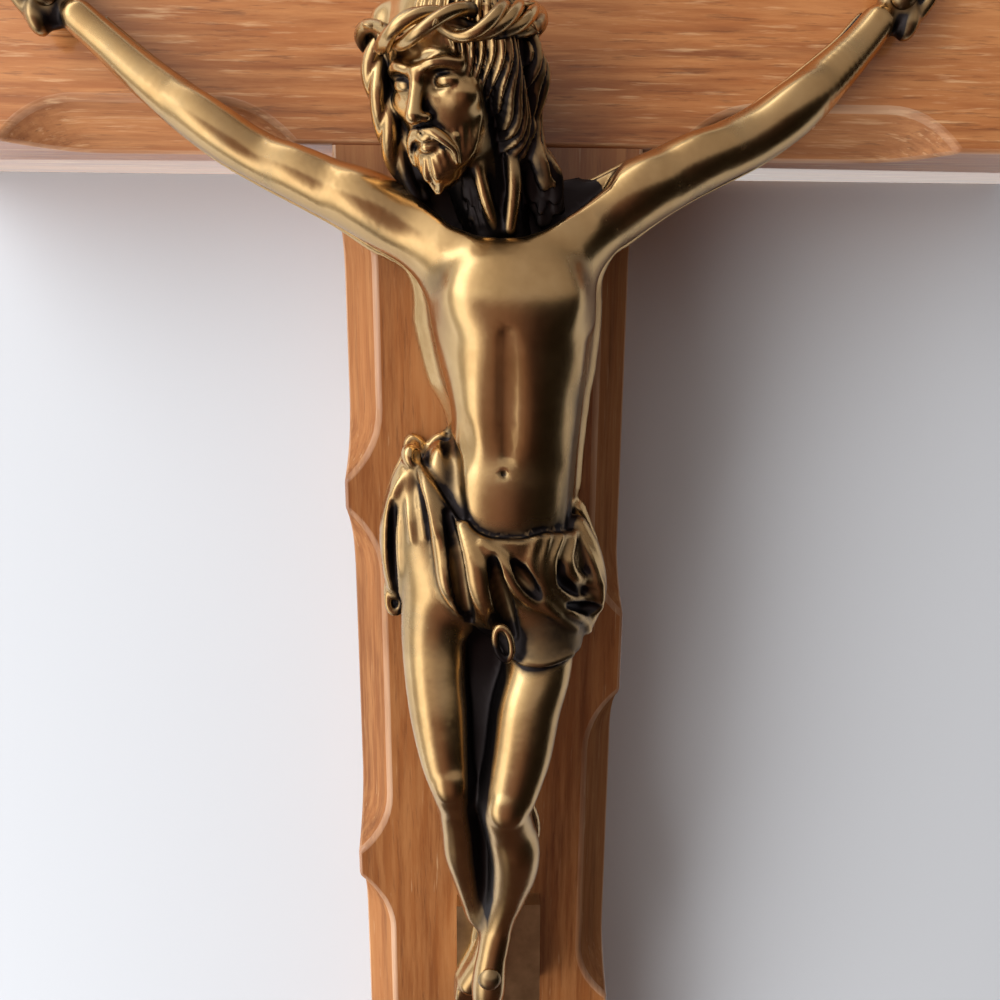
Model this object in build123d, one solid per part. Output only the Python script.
"""Wall crucifix: an oak cross with a cast brass figure, its nails and a hanger on the back.

Millimetres. +Z is up, the front looks along -Y, and the back lies on Y = 0, against the wall.
The origin is the middle of the crossing, on the back. Left and right are the viewer's.
"""
from build123d import *
import os
from math import hypot, sqrt

os.makedirs("parts", exist_ok=True)

# The two beams
beam_width = 40.0
beam_thickness = 22.0
upright_above = 66.0        # from the middle of the crossing to the top
wood_below_feet = 57.6      # from the foot rest to the foot of the upright
crossbeam_half = 82.0       # from the middle of the crossing to either end
lap_depth = 11.0            # how deep the crossbeam lies in the upright

# Hewn cuts along the front edges
cut_on_face = 5.0
cut_on_side = 7.0
cut_runout = 10.0           # length of the rounded run-out at each end of a cut
cut_floor = 35.0            # length of the flat between the run-outs
cut_from_lap = 4.5          # plain edge between the lap and the first cut
cut_from_end = 5.0          # plain edge between the last cut and the end of a beam
left_first_floor = 19.0
left_cut_gap = 4.0
right_first_floor = 39.0
right_cut_gap = 12.0
crossbeam_first_floor = 17.0
crossbeam_cut_gap = 4.0

# The figure: (across X, up Z, height of the middle above the wood), then half width and half depth
trunk_sections = [
    (1.0, -28.5, 3.0, 9.0, 5.5),
    (1.6, -32.5, 3.5, 13.0, 8.0),
    (2.8, -39.0, 3.5, 12.2, 9.6),
    (3.2, -45.0, 3.5, 11.6, 9.4),
    (3.9, -52.0, 3.5, 9.8, 8.0),
    (4.0, -59.0, 4.0, 8.8, 7.4),
    (2.6, -67.0, 4.0, 10.6, 8.2),
    (0.8, -76.0, 4.0, 11.6, 8.4),
]
cloth_sections = [
    (2.4, -64.0, 4.0, 10.6, 8.6),
    (1.4, -71.0, 4.5, 12.8, 9.8),
    (0.4, -79.0, 5.0, 12.6, 9.8),
    (1.6, -86.0, 6.0, 10.0, 8.2),
]
cloth_fall = [
    (-9.0, -57.0, 5.0, 2.4, 3.0),
    (-11.5, -64.0, 5.0, 3.2, 4.0),
    (-12.0, -72.0, 4.5, 3.2, 4.0),
    (-12.2, -79.5, 4.0, 2.2, 3.0),
]
cloth_bunch = [
    (12.0, -66.0, 5.0, 2.2, 3.0),
    (13.2, -71.0, 5.0, 3.4, 4.4),
    (12.8, -78.0, 5.0, 3.6, 4.6),
    (10.6, -85.0, 5.5, 2.4, 3.2),
]
left_leg = [
    (-6.2, -77.0, 4.5, 5.6, 5.8),
    (-7.0, -85.5, 7.4, 4.6, 5.2),
    (-6.3, -94.0, 10.8, 4.1, 4.4),
    (-4.8, -102.5, 12.5, 3.0, 3.7),
    (-4.1, -111.0, 10.6, 2.7, 3.1),
    (-3.1, -119.5, 8.5, 2.4, 2.8),
    (-1.5, -128.0, 6.5, 1.9, 2.2),
]
right_leg = [
    (6.2, -77.0, 4.5, 6.0, 6.0),
    (6.4, -86.0, 7.6, 4.9, 5.3),
    (4.8, -95.0, 11.0, 4.6, 4.7),
    (2.7, -104.0, 13.8, 3.6, 4.1),
    (3.7, -113.0, 12.1, 3.7, 3.8),
    (3.1, -122.0, 10.2, 2.8, 3.0),
    (1.0, -131.0, 9.4, 2.0, 2.5),
]
# The feet, from the ankle, by the instep that the nail goes through, to the toes
left_foot = [
    (-1.5, -127.0, 6.5, 2.0, 2.3),
    (-0.8, -132.5, 6.1, 2.6, 2.4),
    (-1.4, -138.0, 5.7, 2.9, 1.9),
    (-2.4, -143.0, 5.2, 2.3, 1.2),
]
right_foot = [
    (1.1, -130.0, 9.4, 2.1, 2.6),
    (0.2, -134.5, 10.4, 2.7, 2.5),
    (0.0, -139.5, 10.2, 2.9, 2.0),
    (0.0, -143.5, 9.4, 2.3, 1.3),
]
neck_sections = [
    (0.6, -34.0, 6.0, 5.4, 5.4),
    (-0.8, -29.0, 7.0, 4.6, 4.8),
    (-2.6, -23.0, 9.0, 4.6, 4.8),
]
hair_lock = [
    (3.6, -14.0, 8.0, 3.0, 3.6),
    (5.8, -20.0, 6.8, 3.0, 3.4),
    (6.8, -26.0, 6.2, 2.6, 3.0),
    (6.2, -31.0, 6.0, 1.6, 2.0),
]
head_middle = (-4.2, -15.5, 11.0)
head_half_sizes = (9.0, 8.8, 10.6)
head_lean = -14.0           # degrees, towards the viewer's left
head_nod = 12.0             # degrees, forwards
beard_half_sizes = (5.2, 4.6, 5.6)
beard_below_middle = 8.4
beard_in_front = 3.4
crown_radius = 8.5
crown_thickness = 1.7
crown_above_middle = 3.4

# The arms, from inside the trunk, by the shoulder, to the palm and the fingers
left_arm = [
    (-5.0, -31.0, 4.2, 4.0, 4.6),
    (-12.5, -29.0, 4.4, 4.0, 4.6),
    (-20.0, -25.9, 4.2, 3.2, 3.5),
    (-28.5, -22.0, 3.8, 2.9, 3.1),
    (-36.0, -17.4, 3.4, 2.9, 2.8),
    (-43.0, -11.9, 2.8, 2.3, 2.2),
    (-48.6, -6.9, 2.5, 2.1, 2.0),
    (-52.0, -4.4, 2.4, 2.7, 1.9),
    (-58.0, -0.8, 2.2, 2.0, 1.5),
]
right_arm = [
    (8.0, -31.0, 4.2, 4.0, 4.6),
    (15.5, -28.2, 4.4, 4.2, 4.6),
    (22.5, -24.2, 4.2, 3.7, 3.7),
    (31.0, -20.2, 3.8, 3.4, 3.3),
    (38.5, -15.3, 3.4, 3.4, 3.0),
    (44.5, -9.6, 2.8, 2.5, 2.3),
    (47.4, -6.0, 2.5, 2.2, 2.0),
    (50.0, -3.0, 2.4, 2.8, 1.9),
    (54.4, 2.4, 2.2, 2.0, 1.5),
]
arm_peg_radius = 1.6
arm_peg_length = 4.0
arm_peg_clearance = 0.05

# Foot rest and nails
foot_rest_width = 13.0
foot_rest_height = 16.0
foot_rest_above_nail = 4.1
foot_rest_beside_nail = 1.6
foot_rest_foot_depth = 4.6
foot_rest_top_depth = 2.6
nail_radius = 0.8
nail_head_radius = 1.7
nail_head_height = 1.1
nail_in_wood = 9.0
nail_clearance = 0.05
nail_seat_depth = 0.5       # how far a nail's head is let into the casting

# Plate above the head
titulus_width = 24.0
titulus_height = 11.0
titulus_thickness = 1.6
titulus_above_lap = 6.5     # from the crossbeam's top to the plate
titulus_corner = 1.5
titulus_pin_radius = 0.7
titulus_pin_head_radius = 1.3
titulus_pin_head_height = 0.6
titulus_pin_in_wood = 6.0
titulus_pin_from_edge = 3.0

# Screws through the lap, from behind
lap_screw_radius = 1.75
lap_screw_head_radius = 3.5
lap_screw_from_edge = 10.0
lap_screw_cover = 4.0       # wood left in front of the tips
screw_clearance = 0.05
screw_slot_width = 0.9
screw_slot_depth = 0.8

# Hanger in a pocket at the back
ring_wire_radius = 0.9
ring_half_width = 6.5       # to the middle of the wire
ring_corner = 2.5
ring_leg = 1.0
ring_clearance = 0.06
barrel_wall = 0.94
barrel_end_play = 0.5
hanger_plate_width = 25.0
hanger_plate_height = 9.0
hanger_plate_thickness = 1.2
hanger_plate_corner = 2.0
hanger_screw_radius = 1.1
hanger_screw_head_radius = 2.1
hanger_screw_length = 9.0
hanger_screw_from_end = 3.5
pocket_corner = 4.0
pocket_below_top = 8.0
pocket_beside_plate = 2.5
pocket_beyond_ring = 6.1
barrel_below_back = 0.5

# Worked out from the sizes above
front = -beam_thickness
half_width = beam_width / 2
cut_reach = hypot(cut_on_face, cut_on_side)
cut_depth = cut_on_face * cut_on_side / cut_reach
cut_runout_radius = (cut_runout ** 2 + cut_depth ** 2) / (2 * cut_depth)
ankle, instep, *toes = right_foot
foot_rest_middle = instep[0] + foot_rest_beside_nail
foot_rest_top = instep[1] + foot_rest_above_nail
upright_below = foot_rest_height - foot_rest_top + wood_below_feet
titulus_middle = half_width + titulus_above_lap + titulus_height / 2
barrel_bore = ring_wire_radius + ring_clearance
barrel_radius = barrel_bore + barrel_wall
ring_bar_end = ring_half_width - ring_corner
ring_leg_end = -ring_corner - ring_leg
barrel_length = 2 * (ring_bar_end - barrel_end_play)
ring_reach = ring_corner + ring_leg + ring_half_width + ring_wire_radius
pocket_width = hanger_plate_width + 2 * pocket_beside_plate
pocket_height = 2 * (ring_reach + pocket_beyond_ring)
pocket_depth = hanger_plate_thickness + 2 * barrel_radius + barrel_below_back


def above_wood(across, up, height):
    """A point in front of the wood."""
    return Vector(across, front - height, up)


def block(low, high):
    """A box between two corners."""
    middle = (Vector(*low) + Vector(*high)) * 0.5
    return Pos(*middle) * Box(*[abs(h - l) for l, h in zip(low, high)])


def through_sections(stations):
    """A smooth limb through level elliptical sections, listed from top to bottom."""
    sections = []
    for across, up, height, half_across, half_deep in stations:
        level = Plane(above_wood(across, up, height), x_dir=(1, 0, 0), z_dir=(0, 0, -1))
        sections.append(level * Ellipse(half_across, half_deep))
    return loft(sections)


def along_path(stations):
    """A smooth limb whose sections stand square to the line through the stations."""
    points = [above_wood(*station[:3]) for station in stations]
    sections = []
    for index, (_, _, _, half_across, half_deep) in enumerate(stations):
        before = points[max(index - 1, 0)]
        after = points[min(index + 1, len(points) - 1)]
        direction = (after - before).normalized()
        sideways = direction.cross(Vector(0, 1, 0)).normalized()
        square = Plane(points[index], x_dir=sideways, z_dir=direction)
        sections.append(square * Ellipse(half_across, half_deep))
    return loft(sections)


def hewn_cut(corner, along, inward, flat):
    """The wood taken off a front edge by one hewn cut, with rounded run-outs at both ends."""
    length = flat + 2 * cut_runout
    depth_way = (inward * cut_on_side + Vector(0, 1, 0) * cut_on_face).normalized()
    plane = Plane(corner, x_dir=along, z_dir=along.cross(depth_way))
    lean = (cut_runout_radius - cut_depth) / cut_runout_radius
    middle_sine = sqrt((1 - lean) / 2)
    middle_cosine = sqrt((1 + lean) / 2)
    middle_x = cut_runout - cut_runout_radius * middle_sine
    middle_y = cut_depth - cut_runout_radius * (1 - middle_cosine)
    entry = ThreePointArc((0, 0), (middle_x, middle_y), (cut_runout, cut_depth))
    floor = Line((cut_runout, cut_depth), (length - cut_runout, cut_depth))
    leave = ThreePointArc(
        (length - cut_runout, cut_depth), (length - middle_x, middle_y), (length, 0))
    back = Polyline((length, 0), (length, -cut_depth), (0, -cut_depth), (0, 0))
    profile = plane * make_face([entry, floor, leave, back])
    return extrude(profile, cut_reach, dir=tuple(plane.z_dir), both=True)


def hew(beam, corner, along, inward, first_floor, gap, end):
    """The beam with a row of cuts along one front edge, from the lap to the end of the beam."""
    start = half_width + cut_from_lap
    flat = first_floor
    room = end - cut_from_end - start - 2 * cut_runout
    while room > 0:
        flat = min(flat, room)
        beam -= hewn_cut(corner + along * start, along, inward, flat)
        start += flat + 2 * cut_runout + gap
        room -= flat + 2 * cut_runout + gap
        flat = cut_floor
    return beam


def countersunk_screw(radius, head_radius, length, clearance=0.0):
    """A screw along -Y from the origin, its flat head level with Y = 0."""
    head_depth = head_radius - radius
    profile = Polyline(
        (0, 0), (head_radius + clearance, 0), (radius + clearance, -head_depth),
        (radius + clearance, -length - clearance), (0, -length - clearance), close=True)
    return revolve(make_face(profile), Axis.Y)


def slotted_screw(radius, head_radius, length):
    """A countersunk screw with its driver slot."""
    slot = block((-head_radius, -screw_slot_depth, -screw_slot_width / 2),
                 (head_radius, 0, screw_slot_width / 2))
    return countersunk_screw(radius, head_radius, length) - slot


def domed_head(radius, height):
    """A nail's head: a cap of a ball that stands on Y = 0, towards -Y."""
    dome_radius = (radius ** 2 + height ** 2) / (2 * height)
    ball = Pos(0, dome_radius - height, 0) * Sphere(dome_radius)
    return ball & along_y(radius, -height, 0)


def nail(head_under):
    """A nail along Y whose head's underside stands head_under above the wood."""
    shank = along_y(nail_radius, front - head_under, front + nail_in_wood)
    return shank + Pos(0, front - head_under, 0) * domed_head(nail_head_radius, nail_head_height)


def nail_hole(head_under):
    """The room for a nail: its shank, and a flat seat for its head."""
    underside = front - head_under
    shank = along_y(nail_radius + nail_clearance, underside, front + nail_in_wood + nail_clearance)
    seat = along_y(nail_head_radius + nail_clearance, underside - nail_head_radius, underside)
    return shank + seat


def along_y(radius, low, high):
    """A round bar along Y."""
    return Pos(0, (low + high) / 2, 0) * Rot(X=90) * Cylinder(radius, high - low)


def along_x(radius, length):
    """A round bar along X, centred on the origin."""
    return Rot(Y=90) * Cylinder(radius, length)


def rounded_plate(width, height, thickness, corner):
    """A plate on the XZ plane, centred, from Y = 0 towards -Y."""
    face = Plane.XZ * RectangleRounded(width, height, corner)
    return extrude(face, thickness)


# The beams
upright = block((-half_width, front, -upright_below), (half_width, 0, upright_above))
crossbeam = block((-crossbeam_half, front, -half_width), (crossbeam_half, 0, half_width))
edge_cuts = ((-1, left_first_floor, left_cut_gap), (1, right_first_floor, right_cut_gap))
for side, first_floor, gap in edge_cuts:
    edge = Vector(side * half_width, front, 0)
    inside = Vector(-side, 0, 0)
    upright = hew(upright, edge, Vector(0, 0, -1), inside, first_floor, gap, upright_below)
    upright = hew(upright, edge, Vector(0, 0, 1), inside, cut_floor, gap, upright_above)
    for level in (-1, 1):
        edge = Vector(0, front, level * half_width)
        inside = Vector(0, 0, -level)
        crossbeam = hew(crossbeam, edge, Vector(side, 0, 0), inside,
                        crossbeam_first_floor, crossbeam_cut_gap, crossbeam_half)
lap_floor = front + lap_depth
upright -= block((-half_width, front, -half_width), (half_width, lap_floor, half_width))
crossbeam -= block((-half_width, lap_floor, -half_width), (half_width, 0, half_width))

# Pocket and hanger
pocket_middle = upright_above - pocket_below_top - pocket_height / 2
pocket_face = Plane.XZ * RectangleRounded(pocket_width, pocket_height, pocket_corner)
upright -= Pos(0, 0, pocket_middle) * extrude(pocket_face, pocket_depth)
plate_back = hanger_plate_thickness - pocket_depth
barrel_middle = Pos(0, plate_back + barrel_radius, pocket_middle)
plate = rounded_plate(
    hanger_plate_width, hanger_plate_height, hanger_plate_thickness, hanger_plate_corner)
plate = Pos(0, plate_back, pocket_middle) * plate
saddle = block((-barrel_length / 2, plate_back, pocket_middle - barrel_radius),
               (barrel_length / 2, plate_back + barrel_radius, pocket_middle + barrel_radius))
plate = plate + saddle + barrel_middle * along_x(barrel_radius, barrel_length)
plate -= barrel_middle * along_x(barrel_bore, barrel_length)
hanger_screws = []
for side in (-1, 1):
    place = Pos(side * (hanger_plate_width / 2 - hanger_screw_from_end), plate_back, pocket_middle)
    hole = place * countersunk_screw(
        hanger_screw_radius, hanger_screw_head_radius, hanger_screw_length, screw_clearance)
    plate -= hole
    upright -= hole
    hanger_screws.append(place * slotted_screw(
        hanger_screw_radius, hanger_screw_head_radius, hanger_screw_length))

# The ring is a loop of wire, its straight bar in the barrel, hanging down behind the beam
loop = Wire([
    Line((0, 0), (ring_bar_end, 0)),
    RadiusArc((ring_bar_end, 0), (ring_half_width, -ring_corner), ring_corner),
    Line((ring_half_width, -ring_corner), (ring_half_width, ring_leg_end)),
    ThreePointArc((ring_half_width, ring_leg_end), (0, ring_leg_end - ring_half_width),
                  (-ring_half_width, ring_leg_end)),
    Line((-ring_half_width, ring_leg_end), (-ring_half_width, -ring_corner)),
    RadiusArc((-ring_half_width, -ring_corner), (-ring_bar_end, 0), ring_corner),
    Line((-ring_bar_end, 0), (0, 0)),
])
ring_path = Plane.XZ * loop
ring = sweep(Plane.YZ * Circle(ring_wire_radius), path=ring_path)
hanger_ring = barrel_middle * ring

# Screws through the lap
lap_screw_length = beam_thickness - lap_screw_cover
lap_screw_offset = half_width - lap_screw_from_edge
lap_screws = []
for side in (-1, 1):
    place = Pos(side * lap_screw_offset, 0, side * lap_screw_offset)
    hole = place * countersunk_screw(
        lap_screw_radius, lap_screw_head_radius, lap_screw_length, screw_clearance)
    upright -= hole
    crossbeam -= hole
    lap_screws.append(place * slotted_screw(lap_screw_radius, lap_screw_head_radius, lap_screw_length))

# The figure, cut flat where it lies on the wood
behind_front = block((-crossbeam_half, front, -upright_below), (crossbeam_half, 0, upright_above))
body = through_sections(trunk_sections) - behind_front
for limb in (cloth_sections, neck_sections):
    body += through_sections(limb) - behind_front
for limb in (cloth_fall, cloth_bunch, left_leg, right_leg, left_foot, right_foot, hair_lock):
    body += along_path(limb) - behind_front
head_place = Pos(*above_wood(*head_middle)) * Rot(Y=head_lean) * Rot(X=head_nod)
chin_place = Pos(0, -beard_in_front, -beard_below_middle)
body += head_place * scale(Sphere(1), by=head_half_sizes)
body += head_place * chin_place * scale(Sphere(1), by=beard_half_sizes)
body += head_place * Pos(0, 0, crown_above_middle) * Torus(crown_radius, crown_thickness)

# Each arm is one limb, parted from the trunk at the shoulder and pegged there
arms = {}
hand_nails = {}
for side, stations in (("left", left_arm), ("right", right_arm)):
    limb = along_path(stations) - behind_front
    root, joint, upper_arm, *forearm, palm, fingers = stations
    shoulder = above_wood(*joint[:3])
    outward = (above_wood(*upper_arm[:3]) - shoulder).normalized()
    parting = Plane(shoulder, z_dir=outward)
    body += split(limb, parting, Keep.BOTTOM)
    arm = split(limb, parting, Keep.TOP)
    peg = parting * Pos(0, 0, -arm_peg_length / 2) * Cylinder(arm_peg_radius, arm_peg_length)
    socket_depth = arm_peg_length + arm_peg_clearance
    socket = Cylinder(arm_peg_radius + arm_peg_clearance, socket_depth)
    body -= parting * Pos(0, 0, -socket_depth / 2) * socket
    across, up, height, _, half_deep = palm
    head_under = height + half_deep - nail_seat_depth
    place = Pos(across, 0, up)
    hole = place * nail_hole(head_under)
    arms[side] = arm + peg - hole
    crossbeam -= hole
    hand_nails[side] = place * nail(head_under)

# Foot rest, and the nail through both feet
rest_side = Plane.YZ * make_face(Polyline(
    (front, foot_rest_top), (front - foot_rest_top_depth, foot_rest_top),
    (front - foot_rest_foot_depth, foot_rest_top - foot_rest_height),
    (front, foot_rest_top - foot_rest_height), close=True))
foot_rest = Pos(foot_rest_middle, 0, 0) * extrude(rest_side, foot_rest_width / 2, both=True)
body -= foot_rest
across, up, height, _, half_deep = instep
head_under = height + half_deep - nail_seat_depth
hole = Pos(across, 0, up) * nail_hole(head_under)
foot_nail = Pos(across, 0, up) * nail(head_under)
body -= hole
foot_rest -= hole
upright -= hole

# Plate above the head and its pins
titulus = rounded_plate(titulus_width, titulus_height, titulus_thickness, titulus_corner)
titulus = Pos(0, front, titulus_middle) * titulus
titulus_pins = []
for side in (-1, 1):
    place = Pos(side * (titulus_width / 2 - titulus_pin_from_edge), 0, titulus_middle)
    shank_end = front + titulus_pin_in_wood
    hole = place * along_y(titulus_pin_radius + nail_clearance, front - titulus_thickness,
                           shank_end + nail_clearance)
    titulus -= hole
    upright -= hole
    shank = along_y(titulus_pin_radius, front - titulus_thickness, shank_end)
    pin_head = domed_head(titulus_pin_head_radius, titulus_pin_head_height)
    titulus_pins.append(place * (shank + Pos(0, front - titulus_thickness, 0) * pin_head))

nodes = {
    "upright_beam": upright,
    "crossbeam": crossbeam,
    "corpus_body": body,
    "left_arm": arms["left"],
    "right_arm": arms["right"],
    "foot_rest": foot_rest,
    "left_hand_nail": hand_nails["left"],
    "right_hand_nail": hand_nails["right"],
    "foot_nail": foot_nail,
    "titulus_plate": titulus,
    "titulus_pins": Compound(children=titulus_pins),
    "lap_screws": Compound(children=lap_screws),
    "hanger_plate": plate,
    "hanger_screws": Compound(children=hanger_screws),
    "hanger_ring": hanger_ring,
}
for name, shape in nodes.items():
    export_step(shape, f"parts/{name}.step")
    print(f"{name}: {shape.volume:.1f} mm3")
